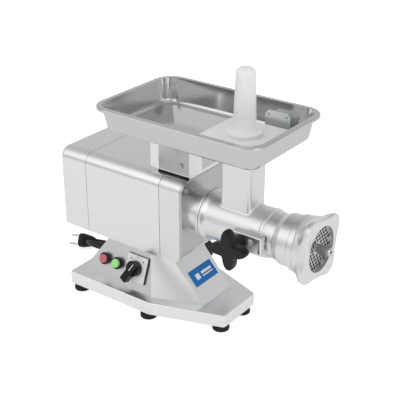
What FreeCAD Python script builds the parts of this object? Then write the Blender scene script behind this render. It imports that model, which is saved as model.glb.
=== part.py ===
import FreeCAD, Part
import math
import os
from FreeCAD import Vector as V

# Electric meat grinder with a size 22 head, a feed tray and a pusher.
# Millimetres.  X runs along the drive shaft from the motor to the head, Z is up and
# the ground is Z = 0.  The origin is on the ground under the middle of the machine.

os.makedirs("parts", exist_ok=True)

# ---------------------------------------------------------------- driving dimensions
SHEET = 1.5                 # stainless sheet
AXIS_Z = 194.5              # height of the drive axis

BASE_REAR_X, BASE_BEND_X, BASE_FRONT_X = -217.4, -33.5, 95.9
BASE_HALF_WIDTH, BASE_FRONT_HALF_WIDTH = 90.7, 46.3
BASE_TOP_Z, BASE_SKIRT_Z = 38.3, 15.5
COVER_Z = 17.0              # underside of the bottom cover, which the feet carry
FOOT_RADIUS = 15.0
FOOT_CENTRES = [(-201.5, 75.0), (-45.0, 75.0), (79.0, 32.0)]

HOUSING_REAR_X, REAR_SEAM_X, FRONT_SEAM_X, CASE_FRONT_X = -268.0, -205.0, -39.9, 2.4
FRONT_X = 7.4
HOUSING_LOW_Y, HOUSING_HIGH_Y = -46.7, 98.7
HOUSING_LOW_Z, HOUSING_TOP_Z = 106.0, 256.0
TOP_RADIUS, CHIN_RADIUS = 20.8, 16.0
SEAM_GAP = 0.8

# the pedestal's outline at the base and under the housing, from rear to front
PEDESTAL_FOOT = [(-200.6, -72.7), (-40.5, -72.7), (48.4, -39.7),
                 (48.4, 39.7), (-40.5, 80.0), (-200.6, 80.0)]
PEDESTAL_HEAD = [(-157.5, -46.7), (-61.3, -46.7), (-14.0, -41.8),
                 (-14.0, 41.8), (-61.3, 84.0), (-157.5, 84.0)]

FLANGE_X, FLANGE_RADIUS = 34.0, 46.0
BARREL_RADIUS, BORE_RADIUS = 40.5, 32.0
SPIGOT_BORE, SPIGOT_X = 36.1, 108.0
JOINT_X = 152.0             # face where the front cylinder meets the barrel
RING_X, RING_FRONT_X = 206.0, 244.4
RING_BODY_RADIUS, RING_OPENING, LOBE_TIP = 47.0, 38.0, 64.5
PLATE_X, PLATE_THICK, PLATE_RADIUS = 229.4, 7.0, 41.0

NECK_X, NECK_HALF_X, NECK_HALF_Y, NECK_WALL = 97.0, 28.2, 23.6, 4.0
TRAY_FLOOR_Z, TRAY_RIM_Z = 334.0, 377.9
TRAY_X, TRAY_HALF_X, TRAY_HALF_Y = 24.7, 161.8, 105.0
RIM_WIDTH, TRAY_SHEET = 8.6, 1.0
GUARD_TOP_Z, COLLAR_TOP_Z, PUSHER_TOP_Z = 350.0, 353.2, 459.0

LOCK_X, LOCK_Y, LOCK_Z = 126.0, -80.0, 190.5     # centre of the star knob
LUG_FRONT_X = 166.0               # end of the cheek beside the clamping stud

# gear train: motor pinion, countershaft gear and pinion, output gear
MOTOR_MODULE, MOTOR_TEETH, COUNTER_TEETH = 1.25, 14, 46
DRIVE_MODULE, PINION_TEETH, OUTPUT_TEETH = 1.75, 14, 36
OUTPUT_AXIS = (0.0, AXIS_Z)
COUNTER_AXIS = (10.0, AXIS_Z - math.sqrt(43.75 ** 2 - 10.0 ** 2))
MOTOR_AXIS = (COUNTER_AXIS[0] + 22.0, COUNTER_AXIS[1] + math.sqrt(37.5 ** 2 - 22.0 ** 2))
MOTOR_RADIUS = 55.0

# control panel: the pedestal's side face, seen from in front of it
PANEL_FOOT = V(0, -72.7, 38.3)
PANEL_UP = V(0, 26.0, 67.7).normalize()
PANEL_OUT = V(0, -67.7, 26.0).normalize()
BUTTON_UP, STOP_X, START_X = 36.2, -153.5, -124.3
SWITCH_X, SWITCH_UP, SWITCH_HALF_X, SWITCH_HALF_UP = -82.0, 39.5, 22.0, 23.0
SWITCH_TURN = -28.0         # the handle points down towards the rear

CORD_RADIUS = 3.5
COIL_CENTRE = (-126.0, 147.0)
COIL_MEAN_RADIUS, COIL_LOW_Z = 40.0, 1.2


# ---------------------------------------------------------------------- shape helpers
def export(name, *shapes):
    """Write one node: a single solid, or several solids side by side."""
    shape = shapes[0] if len(shapes) == 1 else Part.makeCompound(list(shapes))
    shape.exportStep("parts/" + name + ".step")


def rod(radius, start, end):
    """Round bar between two points."""
    a, b = V(*start), V(*end)
    return Part.makeCylinder(radius, (b - a).Length, a, b - a)


def x_rod(radius, x0, x1, axis=OUTPUT_AXIS):
    return rod(radius, (x0, axis[0], axis[1]), (x1, axis[0], axis[1]))


def x_ring(outer, inner, x0, x1, axis=OUTPUT_AXIS):
    return x_rod(outer, x0, x1, axis).cut(x_rod(inner, x0 - 1, x1 + 1, axis))


def block(x0, x1, y0, y1, z0, z1):
    return Part.makeBox(x1 - x0, y1 - y0, z1 - z0, V(x0, y0, z0))


def turned(profile, axis=OUTPUT_AXIS):
    """Solid of revolution about a line along X, from (x, radius) corners."""
    points = [V(x, axis[0], axis[1] + radius) for x, radius in profile]
    face = Part.Face(Part.makePolygon(points + points[:1]))
    return face.revolve(V(0, axis[0], axis[1]), V(1, 0, 0), 360)


def turned_z(profile, x, y):
    """Solid of revolution about a vertical line, from (radius, z) corners."""
    points = [V(x + radius, y, z) for radius, z in profile]
    face = Part.Face(Part.makePolygon(points + points[:1]))
    return face.revolve(V(x, y, 0), V(0, 0, 1), 360)


def plate_z(points, z0, z1):
    """Flat plate with the given outline."""
    corners = [V(x, y, z0) for x, y in points]
    return Part.Face(Part.makePolygon(corners + corners[:1])).extrude(V(0, 0, z1 - z0))


def inset(points, distance):
    """Move every side of a convex, counter-clockwise outline inwards."""
    moved = []
    count = len(points)
    for i in range(count):
        lines = []
        for j in (i - 1, i):
            (x0, y0), (x1, y1) = points[j], points[(j + 1) % count]
            length = math.hypot(x1 - x0, y1 - y0)
            nx, ny = -(y1 - y0) / length, (x1 - x0) / length
            lines.append((nx, ny, nx * x0 + ny * y0 + distance))
        (a, b, c), (d, e, f) = lines
        det = a * e - b * d
        moved.append(((c * e - b * f) / det, (a * f - c * d) / det))
    return moved


def edges_where(shape, test):
    return [edge for edge in shape.Edges if test(edge)]


def is_vertical(edge):
    a, b = edge.Vertexes[0].Point, edge.Vertexes[-1].Point
    return abs(a.x - b.x) < 0.01 and abs(a.y - b.y) < 0.01 and abs(a.z - b.z) > 0.5


def lies_at(edge, axis, value):
    return all(abs(getattr(v.Point, axis) - value) < 0.01 for v in edge.Vertexes)


def rounded_bar(cx, cy, half_x, half_y, radius, z0, z1):
    """Vertical bar whose section is a rectangle with round corners."""
    bar = block(cx - half_x, cx + half_x, cy - half_y, cy + half_y, z0, z1)
    return bar.makeFillet(radius, edges_where(bar, is_vertical))


def rounded_wire(cx, cy, half_x, half_y, radius, z):
    """Closed outline: a rectangle with round corners at height z."""
    edges = []
    spots = [(1, 1, 0), (-1, 1, 90), (-1, -1, 180), (1, -1, 270)]
    ends = []
    for sx, sy, turn in spots:
        ox, oy = cx + sx * (half_x - radius), cy + sy * (half_y - radius)
        arc = [V(ox + radius * math.cos(math.radians(turn + a)),
                 oy + radius * math.sin(math.radians(turn + a)), z) for a in (0, 45, 90)]
        edges.append(Part.Arc(*arc).toShape())
        ends.append((arc[0], arc[2]))
    for i in range(4):
        edges.append(Part.makeLine(ends[i][1], ends[(i + 1) % 4][0]))
    return Part.Wire(Part.__sortEdges__(edges))


def on_panel(x, up, out):
    """Point on the control panel: along it, up its slope and out of it."""
    return PANEL_FOOT + V(x, 0, 0) + PANEL_UP * up + PANEL_OUT * out


def panel_rod(radius, x, up, out0, out1):
    return Part.makeCylinder(radius, out1 - out0, on_panel(x, up, out0), PANEL_OUT)


def panel_block(x, up, half_x, half_up, out0, out1, tilt=0.0):
    """Block on the control panel, turned by tilt about the panel's normal."""
    corners = []
    for sx, su in ((-1, -1), (1, -1), (1, 1), (-1, 1)):
        a, b = sx * half_x, su * half_up
        c, s = math.cos(math.radians(tilt)), math.sin(math.radians(tilt))
        corners.append(on_panel(x + a * c - b * s, up + a * s + b * c, out0))
    face = Part.Face(Part.makePolygon(corners + corners[:1]))
    return face.extrude(PANEL_OUT * (out1 - out0))


def spur_gear(module, teeth, axis, x0, x1, tooth_angle, bore):
    """Spur gear about an X axis, with one tooth centred at tooth_angle degrees."""
    pitch = module * teeth / 2
    base = pitch * math.cos(math.radians(20))
    root, tip = pitch - 1.25 * module, pitch + 0.85 * module

    def involute(radius):
        roll = math.acos(min(1.0, base / radius))
        return math.tan(roll) - roll

    def half_angle(radius):
        thin = 0.88 * math.pi / (2 * teeth)
        return thin + involute(pitch) - involute(max(radius, base))

    outline = []
    for tooth in range(teeth):
        middle = math.radians(tooth_angle) + 2 * math.pi * tooth / teeth
        flank = [(root, half_angle(root)), (max(base, root + 0.2), half_angle(base)),
                 (pitch, half_angle(pitch)), (tip, half_angle(tip))]
        outline += [(r, middle - a) for r, a in flank]
        outline += [(r, middle + a) for r, a in reversed(flank)]
    points = [V(x0, axis[0] + r * math.cos(a), axis[1] + r * math.sin(a)) for r, a in outline]
    gear = Part.Face(Part.makePolygon(points + points[:1])).extrude(V(x1 - x0, 0, 0))
    return gear.cut(x_rod(bore, x0 - 1, x1 + 1, axis))


def hexagon(across_flats, centre, direction, length):
    """Hexagonal prism, such as a nut."""
    radius = across_flats / math.sqrt(3)
    points = [V(radius * math.cos(math.radians(60 * i)), radius * math.sin(math.radians(60 * i)), 0)
              for i in range(6)]
    prism = Part.Face(Part.makePolygon(points + points[:1])).extrude(V(0, 0, length))
    prism.Placement = FreeCAD.Placement(V(*centre), FreeCAD.Rotation(V(0, 0, 1), V(*direction)))
    return prism


def socket_screw(centre, direction, head_radius, head_height, shank_radius, shank_length):
    """Cap screw: the head stands out along direction, the shank goes the other way."""
    out = V(*direction)
    head = Part.makeCylinder(head_radius, head_height, V(*centre), out)
    shank = Part.makeCylinder(shank_radius, shank_length, V(*centre), out * -1)
    key = hexagon(head_radius, V(*centre) + out * (head_height * 0.4), direction, head_height)
    return head.fuse(shank).cut(key)


# --------------------------------------------------------------------- base and feet
def base_outline():
    return [(BASE_REAR_X, -BASE_HALF_WIDTH), (BASE_BEND_X, -BASE_HALF_WIDTH),
            (BASE_FRONT_X, -BASE_FRONT_HALF_WIDTH), (BASE_FRONT_X, BASE_FRONT_HALF_WIDTH),
            (BASE_BEND_X, BASE_HALF_WIDTH), (BASE_REAR_X, BASE_HALF_WIDTH)]


def foot_places():
    return [(x, side * y) for x, y in FOOT_CENTRES for side in (-1, 1)]


def pressed_pan(outline, z0, z1, corner, top):
    body = plate_z(outline, z0, z1)
    body = body.makeFillet(corner, edges_where(body, is_vertical))
    return body.makeFillet(top, edges_where(body, lambda e: lies_at(e, "z", z1)))


def make_base():
    outer = pressed_pan(base_outline(), BASE_SKIRT_Z, BASE_TOP_Z, 6.0, 2.5)
    inner = pressed_pan(inset(base_outline(), SHEET), BASE_SKIRT_Z - 5, BASE_TOP_Z - SHEET,
                        6.0 - SHEET, 2.5 - SHEET)
    wiring = block(-150, -60, -35, 35, BASE_TOP_Z - 5, BASE_TOP_Z + 5)
    export("base_pan", outer.cut(inner).cut(wiring))

    cover = plate_z(inset(base_outline(), SHEET + 0.4), COVER_Z, COVER_Z + SHEET)
    cover = cover.makeFillet(4.0, edges_where(cover, is_vertical))
    for x, y in foot_places():
        cover = cover.cut(rod(3.0, (x, y, 0), (x, y, 30)))
    for i in range(7):
        slot = rounded_bar(-150 + 14 * i, 0, 2.5, 22, 2.4, COVER_Z - 1, COVER_Z + 5)
        cover = cover.cut(slot)
    export("bottom_cover", cover)

    feet, screws = [], []
    for x, y in foot_places():
        foot = turned_z([(3.0, 8.0), (7.0, 8.0), (7.0, 0.0), (FOOT_RADIUS - 2.5, 0.0),
                         (FOOT_RADIUS - 0.6, 1.2), (FOOT_RADIUS, 4.0),
                         (FOOT_RADIUS - 2.0, COVER_Z), (3.0, COVER_Z)], x, y)
        screw = turned_z([(0.0, 5.5), (5.6, 5.5), (5.6, 8.0), (3.0, 8.0), (3.0, 25.0), (0.0, 25.0)],
                         x, y)
        nut = hexagon(10.0, (x, y, COVER_Z + SHEET), (0, 0, 1), 5.0).cut(rod(3.0, (x, y, 0), (x, y, 30)))
        feet.append(foot)
        screws += [screw, nut]
    export("rubber_feet", *feet)
    export("foot_screws", *screws)


def pedestal_solid(distance, z0, z1):
    """The pedestal's sloping body with its walls moved inwards by distance."""
    wires = []
    for outline, z in ((PEDESTAL_FOOT, BASE_TOP_Z), (PEDESTAL_HEAD, HOUSING_LOW_Z)):
        corners = [V(x, y, z) for x, y in inset(outline, distance)]
        wires.append(Part.makePolygon(corners + corners[:1]))
    body = Part.makeLoft(wires, True, True)
    return body.common(block(-300, 200, -200, 200, z0, z1))


def make_pedestal():
    shell = pedestal_solid(0, BASE_TOP_Z, HOUSING_LOW_Z)
    shell = shell.cut(pedestal_solid(SHEET * 1.3, BASE_TOP_Z - 1, HOUSING_LOW_Z + 1))
    for x in (STOP_X, START_X):
        shell = shell.cut(panel_rod(8.6, x, BUTTON_UP, -10, 10))
    shell = shell.cut(panel_rod(9.0, SWITCH_X, SWITCH_UP, -10, 10))
    gland_y, gland_z = LEAD_ROUTE[0][1:]
    shell = shell.cut(rod(8.0, (-230, gland_y, gland_z), (-150, gland_y, gland_z)))
    export("pedestal", shell)

    slope = V(-62.4, 0, 67.7).normalize()
    out = V(67.7, 0, 62.4).normalize()
    foot = V(48.4, 0, BASE_TOP_Z)
    corners = [foot + slope * up + V(0, y, 0) + out * 0.05
               for y, up in ((-30, 31.5), (31.5, 31.5), (31.5, 61), (-30, 61))]
    plaque = Part.Face(Part.makePolygon(corners + corners[:1])).extrude(out * 1.0)
    export("blank_plaque", plaque)


# --------------------------------------------------------------------------- housing
def housing_section(distance, x0, x1):
    """Housing block: round upper edges, moved inwards by distance."""
    body = block(x0, x1, HOUSING_LOW_Y + distance, HOUSING_HIGH_Y - distance,
                 HOUSING_LOW_Z + distance, HOUSING_TOP_Z - distance)
    long_top = [e for e in body.Edges if lies_at(e, "z", HOUSING_TOP_Z - distance)
                and abs(e.Vertexes[0].Point.x - e.Vertexes[-1].Point.x) > 1]
    return body.makeFillet(TOP_RADIUS - distance, long_top)


def rounded_end(body, x, radius):
    return body.makeFillet(radius, edges_where(body, lambda e: lies_at(e, "x", x)))


def make_housing():
    cover = housing_section(0, REAR_SEAM_X + SEAM_GAP, FRONT_SEAM_X - SEAM_GAP / 2)
    cover = cover.cut(housing_section(SHEET, REAR_SEAM_X - 5, FRONT_SEAM_X + 5))
    cover = cover.cut(block(-145, -65, -35, 70, HOUSING_LOW_Z - 2, HOUSING_LOW_Z + 5))
    export("housing_cover", cover)

    cap = rounded_end(housing_section(0, HOUSING_REAR_X, REAR_SEAM_X), HOUSING_REAR_X, 11.0)
    inner = housing_section(SHEET, HOUSING_REAR_X + SHEET, REAR_SEAM_X + 5)
    inner = rounded_end(inner, HOUSING_REAR_X + SHEET, 11.0 - SHEET)
    cap = cap.cut(inner)
    for row in range(6):
        for column in (0, 1):
            slot = block(HOUSING_REAR_X - 5, HOUSING_REAR_X + 5, -18 + 50 * column, 20 + 50 * column,
                         140 + 14 * row, 145 + 14 * row)
            cap = cap.cut(slot)
    export("rear_cap", cap)

    lip = housing_section(SHEET + 0.05, REAR_SEAM_X - 8, REAR_SEAM_X + 9)
    export("cover_joint_band", lip.cut(housing_section(2 * SHEET, REAR_SEAM_X - 9, REAR_SEAM_X + 10)))


def chin(body):
    """Round the lower front edge of the gear case."""
    edges = [e for e in body.Edges if lies_at(e, "x", CASE_FRONT_X) and lies_at(e, "z", HOUSING_LOW_Z)]
    return body.makeFillet(CHIN_RADIUS, edges)


def make_gear_case():
    case = chin(housing_section(0, FRONT_SEAM_X + SEAM_GAP / 2, CASE_FRONT_X))
    cavity = block(FRONT_SEAM_X - 5, CASE_FRONT_X - 6, HOUSING_LOW_Y + 4.5, HOUSING_HIGH_Y - 4.5,
                   HOUSING_LOW_Z + 8, HOUSING_TOP_Z - 4.5)
    long_edges = [e for e in cavity.Edges
                  if abs(e.Vertexes[0].Point.x - e.Vertexes[-1].Point.x) > 1]
    cavity = cavity.makeFillet(16.0, long_edges)
    case = case.cut(cavity).cut(x_rod(27.0, -10, 10)).cut(x_rod(13.0, -10, 10, COUNTER_AXIS))
    export("gear_case", case)

    rear = cavity.common(block(FRONT_SEAM_X + 0.5, -33.4, -60, 110, 100, 260))
    rear = rear.cut(x_rod(13.0, -50, 0, COUNTER_AXIS)).cut(x_rod(8.0, -50, 0, MOTOR_AXIS))
    export("gear_case_rear_wall", rear)

    plate = block(CASE_FRONT_X, FRONT_X, HOUSING_LOW_Y, HOUSING_HIGH_Y,
                  HOUSING_LOW_Z + CHIN_RADIUS, HOUSING_TOP_Z)
    top = [e for e in plate.Edges if lies_at(e, "z", HOUSING_TOP_Z)
           and abs(e.Vertexes[0].Point.x - e.Vertexes[-1].Point.x) > 1]
    plate = plate.makeFillet(TOP_RADIUS, top)
    front = [e for e in plate.Edges if lies_at(e, "x", FRONT_X)]
    plate = plate.makeFillet(1.8, front)
    plate = plate.cut(x_rod(27.0, -10, 20))
    places = [(-29.7, 239.9), (81.7, 239.9), (81.7, 136.0)]
    for y, z in places:
        plate = plate.cut(x_rod(2.5, 0, 10, (y, z)))
    export("front_plate", plate)
    export("front_plate_screws", *[socket_screw((FRONT_X, y, z), (1, 0, 0), 4.6, 4.0, 2.5, 4.0)
                                   for y, z in places])

    outlet = turned([(CASE_FRONT_X - 6, 27.0), (FRONT_X, 27.0), (FRONT_X, 36.0), (FLANGE_X - 3, 36.0),
                     (FLANGE_X, 39.0), (FLANGE_X, FLANGE_RADIUS - 0.8), (FLANGE_X + 0.8, FLANGE_RADIUS),
                     (FLANGE_X + 4.5, FLANGE_RADIUS), (FLANGE_X + 4.5, 23.0), (20.0, 23.0),
                     (20.0, 20.0), (9.0, 20.0), (9.0, 23.0), (CASE_FRONT_X - 6, 23.0)])
    export("outlet_flange", outlet)


def make_gear_train():
    """Gears, shafts and bearings, in mesh at rest."""
    output_y, output_z = OUTPUT_AXIS
    counter_y, counter_z = COUNTER_AXIS
    motor_y, motor_z = MOTOR_AXIS
    to_counter = math.degrees(math.atan2(counter_z - output_z, counter_y - output_y))
    to_motor = math.degrees(math.atan2(motor_z - counter_z, motor_y - counter_y))

    export("output_gear", spur_gear(DRIVE_MODULE, OUTPUT_TEETH, OUTPUT_AXIS, -19, -6, to_counter, 12.45))
    tang = block(40, 53.5, -7, 7, AXIS_Z - 7, AXIS_Z + 7)
    export("output_shaft", x_rod(12.45, -20.5, 40).fuse(tang))
    output_bearings = [x_ring(23.0, 12.5, x, x + 12) for x in (-3.0, 22.0)]
    export("output_bearings", *output_bearings)

    export("countershaft", x_rod(7.95, -39.0, 2.0, COUNTER_AXIS))
    export("countershaft_pinion",
           spur_gear(DRIVE_MODULE, PINION_TEETH, COUNTER_AXIS, -20, -5,
                     to_counter + 180 + 180 / PINION_TEETH, 7.95))
    export("countershaft_gear",
           spur_gear(MOTOR_MODULE, COUNTER_TEETH, COUNTER_AXIS, -31, -22, to_motor, 7.95))
    export("countershaft_bearings", x_ring(13.0, 8.0, FRONT_SEAM_X + 0.5, -33.4, COUNTER_AXIS),
           x_ring(13.0, 8.0, CASE_FRONT_X - 6, CASE_FRONT_X, COUNTER_AXIS))

    export("motor_pinion",
           spur_gear(MOTOR_MODULE, MOTOR_TEETH, MOTOR_AXIS, -32, -21,
                     to_motor + 180 + 180 / MOTOR_TEETH, 4.95))


def make_motor():
    shell = x_ring(MOTOR_RADIUS, MOTOR_RADIUS - 3, -178, -52, MOTOR_AXIS)
    export("motor_frame", shell)
    export("motor_end_shields", x_ring(MOTOR_RADIUS, 11.0, -52, FRONT_SEAM_X + 0.5, MOTOR_AXIS),
           x_ring(MOTOR_RADIUS, 11.0, -186, -178, MOTOR_AXIS))
    export("motor_stator", x_ring(MOTOR_RADIUS - 3, 31.0, -150, -78, MOTOR_AXIS))
    export("motor_bearings", x_ring(11.0, 5.0, -50, FRONT_SEAM_X + 0.5, MOTOR_AXIS),
           x_ring(11.0, 5.0, -186, -178, MOTOR_AXIS))
    export("motor_rotor", x_ring(30.4, 4.95, -150, -78, MOTOR_AXIS))
    export("motor_shaft", x_rod(4.95, -204, -20, MOTOR_AXIS))
    fan = x_ring(14.0, 4.95, -203, -190, MOTOR_AXIS)
    y, z = MOTOR_AXIS
    for i in range(8):
        blade = block(-202, -191, y + 12, y + 50, z - 1, z + 1)
        blade.rotate(V(0, y, z), V(1, 0, 0), 45 * i)
        fan = fan.fuse(blade)
    export("motor_fan", fan)
    export("motor_capacitor", rod(17.0, (-190, -20, 127), (-110, -20, 127)))


# ------------------------------------------------------------------------------ head
def make_head():
    x0 = FLANGE_X + 4.7
    outer = turned([(x0, 0), (x0, 44.5), (x0 + 0.8, 45.3), (x0 + 5, 45.3), (x0 + 6, 44.0),
                    (x0 + 9, BARREL_RADIUS + 0.6), (x0 + 12, BARREL_RADIUS),
                    (JOINT_X - 1, BARREL_RADIUS), (JOINT_X, BARREL_RADIUS - 1), (JOINT_X, 0)])
    neck = rounded_bar(NECK_X, 0, NECK_HALF_X, NECK_HALF_Y, 5.0, AXIS_Z, TRAY_FLOOR_Z - 0.1)
    body = outer.fuse(neck).removeSplitter()
    seam = [e for e in body.Edges if e.BoundBox.ZMin > AXIS_Z + 20 and e.BoundBox.ZMax < AXIS_Z + 60
            and NECK_X - 40 < e.CenterOfMass.x < NECK_X + 40]
    body = body.makeFillet(5.0, seam)
    lug = block(LOCK_X - 14, LUG_FRONT_X, -51, -20, AXIS_Z - 18, AXIS_Z + 14)
    lug = lug.makeFillet(3.0, edges_where(lug, lambda e: lies_at(e, "y", -51)))
    lug = lug.cut(x_rod(42.2, JOINT_X, LUG_FRONT_X + 1))
    body = body.fuse(lug)
    body = body.cut(x_rod(BORE_RADIUS, x0 + 5, JOINT_X + 1)).cut(x_rod(24.0, x0 - 1, x0 + 6))
    body = body.cut(x_rod(SPIGOT_BORE, SPIGOT_X, JOINT_X + 1))
    throat = rounded_bar(NECK_X, 0, NECK_HALF_X - NECK_WALL, NECK_HALF_Y - NECK_WALL, 4.0,
                         AXIS_Z, TRAY_FLOOR_Z + 1)
    body = body.cut(throat)
    body = body.cut(rod(5.06, (LOCK_X, -60, LOCK_Z), (LOCK_X, -30, LOCK_Z)))
    body = body.cut(block(LOCK_X + 16, LOCK_X + 25, -60, -45, AXIS_Z - 4, AXIS_Z + 8))
    body = body.cut(block(LUG_FRONT_X - 6, LUG_FRONT_X - 2.5, -60, -40, AXIS_Z - 14, AXIS_Z + 2))
    export("head_casting", body)

    front = turned([(SPIGOT_X + 0.5, SPIGOT_BORE - 0.08), (JOINT_X + 0.4, SPIGOT_BORE - 0.08),
                    (JOINT_X + 0.4, BARREL_RADIUS), (JOINT_X + 1.4, 41.6), (JOINT_X + 5.0, 41.6),
                    (JOINT_X + 6.5, 38.3), (176.0, 38.3), (187.0, 43.2), (RING_X - 1, 43.2),
                    (PLATE_X + PLATE_THICK, 43.2), (PLATE_X + PLATE_THICK, PLATE_RADIUS + 0.2),
                    (PLATE_X, PLATE_RADIUS + 0.2), (PLATE_X, 36.0), (212.0, 36.0),
                    (206.0, BORE_RADIUS), (SPIGOT_X + 0.5, BORE_RADIUS)])
    throat_gap = rounded_bar(NECK_X, 0, NECK_HALF_X - NECK_WALL, NECK_HALF_Y - NECK_WALL, 4.0,
                             AXIS_Z, AXIS_Z + 60)
    export("front_cylinder", front.cut(throat_gap))


def make_auger():
    start, end = 42.0, 206.0
    core = turned([(start, 0), (start, 20.0), (start + 8, 20.0), (start + 14, 13.0), (end, 15.0),
                   (end + 8, 15.0), (end + 8, 0)])
    tang = block(end + 8, PLATE_X - 0.3, -8, 8, AXIS_Z - 8, AXIS_Z + 8)
    pitch, height, reach = 46.0, end - start - 24, 31.2
    helix = Part.makeHelix(pitch, height, 10.0)
    profile = Part.makePolygon([V(10, 0, -4.0), V(reach, 0, -2.2), V(reach, 0, 2.2), V(10, 0, 4.0),
                                V(10, 0, -4.0)])
    flight = Part.Wire(helix.Edges).makePipeShell([profile], True, True)
    flight.Placement = FreeCAD.Placement(V(start + 16, 0, AXIS_Z), FreeCAD.Rotation(V(0, 0, 1), V(1, 0, 0)))
    limit = x_rod(reach, start + 8, end)
    auger = core.fuse(flight.common(limit)).fuse(tang)
    auger = auger.cut(block(start - 1, 54.5, -7, 7, AXIS_Z - 7, AXIS_Z + 7))
    auger = auger.cut(x_rod(6.0, 190, PLATE_X + 1))
    export("auger", auger)

    pin = turned([(190.0, 0), (190.0, 6.0), (PLATE_X - 0.3, 6.0), (PLATE_X - 0.3, 7.4), (259.6, 7.4),
                  (261.0, 6.2), (261.0, 0)])
    export("auger_pin", pin.cut(x_rod(2.6, 250, 262)))

    knife = x_ring(12.5, 5.0, 216.0, PLATE_X - 0.4)
    for i in range(4):
        blade = block(221.0, PLATE_X - 0.4, 0, 33.5, AXIS_Z - 1, AXIS_Z + 9)
        blade = blade.makeChamfer(4.0, [e for e in blade.Edges
                                       if lies_at(e, "x", 221.0) and lies_at(e, "z", AXIS_Z + 9)])
        blade.rotate(V(0, 0, AXIS_Z), V(1, 0, 0), 90 * i)
        knife = knife.fuse(blade)
    knife = knife.common(x_rod(31.2, 210, 240)).cut(block(210, 240, -8, 8, AXIS_Z - 8, AXIS_Z + 8))
    export("knife", knife)


def make_hole_plate():
    plate = x_ring(PLATE_RADIUS, 7.47, PLATE_X, PLATE_X + PLATE_THICK)
    pitch, hole = 7.6, 2.8
    holes = []
    for row in range(-5, 6):
        for column in range(-6, 7):
            y = pitch * (column + 0.5 * (row % 2))
            z = pitch * row * math.sin(math.radians(60))
            if 12.5 < math.hypot(y, z) < 35.6:
                holes.append(x_rod(hole, PLATE_X - 1, PLATE_X + PLATE_THICK + 1, (y, AXIS_Z + z)))
    export("hole_plate", plate.cut(Part.makeCompound(holes)))


def lobed_ring(place, valley, tip, first_lobe, sharpness=1.5):
    """Closed smooth outline with four lobes; place(radius, angle) puts a point in space."""
    points = []
    for i in range(48):
        angle = 2 * math.pi * i / 48
        wave = (1 + math.cos(4 * (angle - math.radians(first_lobe)))) / 2
        points.append(place(valley + (tip - valley) * wave ** sharpness, angle))
    curve = Part.BSplineCurve()
    curve.interpolate(points, PeriodicFlag=True)
    return Part.Wire(curve.toShape())


def make_ring_nut():
    """Clamping ring whose four lobes flare towards the front."""
    body = turned([(RING_X, 0), (RING_X, RING_BODY_RADIUS - 1.5), (RING_X + 1.5, RING_BODY_RADIUS),
                   (RING_FRONT_X - 4, RING_BODY_RADIUS), (RING_FRONT_X - 4, 0)])
    sections = [(RING_X + 3, 46.0, 46.0), (RING_X + 10, 46.6, 47.8), (RING_X + 18, 47.4, 52.0),
                (RING_X + 25, 48.4, 59.0), (RING_X + 30, 49.0, LOBE_TIP - 1),
                (RING_FRONT_X - 6, 49.2, LOBE_TIP), (RING_FRONT_X - 1.5, 49.2, LOBE_TIP),
                (RING_FRONT_X, 47.8, LOBE_TIP - 1.5)]
    wires = []
    for x, valley, tip in sections:
        wires.append(lobed_ring(lambda r, a, x=x: V(x, r * math.cos(a), AXIS_Z + r * math.sin(a)),
                                valley, tip, 35))
    body = body.fuse(Part.makeLoft(wires, True, False))
    seat_x = PLATE_X + PLATE_THICK + 0.2
    body = body.cut(x_rod(43.6, RING_X - 1, seat_x)).cut(x_rod(RING_OPENING, RING_X, RING_FRONT_X + 1))
    export("ring_nut", body)


def make_lock():
    """Star knob on a stud that clamps the front cylinder in the barrel."""
    sections = [(-8.5, 14.0, 30.0), (-7.5, 15.4, 32.6), (-5.0, 16.3, 34.0), (0.0, 16.6, 34.5),
                (5.0, 16.3, 34.0), (7.5, 15.4, 32.6), (8.5, 14.0, 30.0)]
    wires = []
    for y, valley, tip in sections:
        wires.append(lobed_ring(lambda r, a, y=y: V(LOCK_X + r * math.cos(a), LOCK_Y + y,
                                                    LOCK_Z + r * math.sin(a)), valley, tip, 6, 1.25))
    knob = Part.makeLoft(wires, True, False)
    hub = rod(13.0, (LOCK_X, LOCK_Y + 6, LOCK_Z), (LOCK_X, -54.5, LOCK_Z))
    knob = knob.fuse(hub).cut(rod(5.0, (LOCK_X, -72, LOCK_Z), (LOCK_X, -50, LOCK_Z)))
    export("lock_knob", knob)
    export("lock_stud", rod(5.0, (LOCK_X, -72, LOCK_Z), (LOCK_X, -SPIGOT_BORE - 0.6, LOCK_Z)))


# ----------------------------------------------------------------- tray and its guard
def tray_walls(distance, z_top, z_floor, corner):
    """Drafted tub: the tray's outside, or its inside when distance is the sheet."""
    top = rounded_wire(TRAY_X, 0, TRAY_HALF_X - RIM_WIDTH - distance, TRAY_HALF_Y - RIM_WIDTH - distance,
                       28.0 - distance, z_top)
    floor = rounded_wire(TRAY_X, 0, 146.7 - distance, 86.5 - distance, 21.0 - distance, z_floor)
    tub = Part.makeLoft([floor, top], True, True)
    return tub.makeFillet(corner, edges_where(tub, lambda e: lies_at(e, "z", z_floor)))


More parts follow.
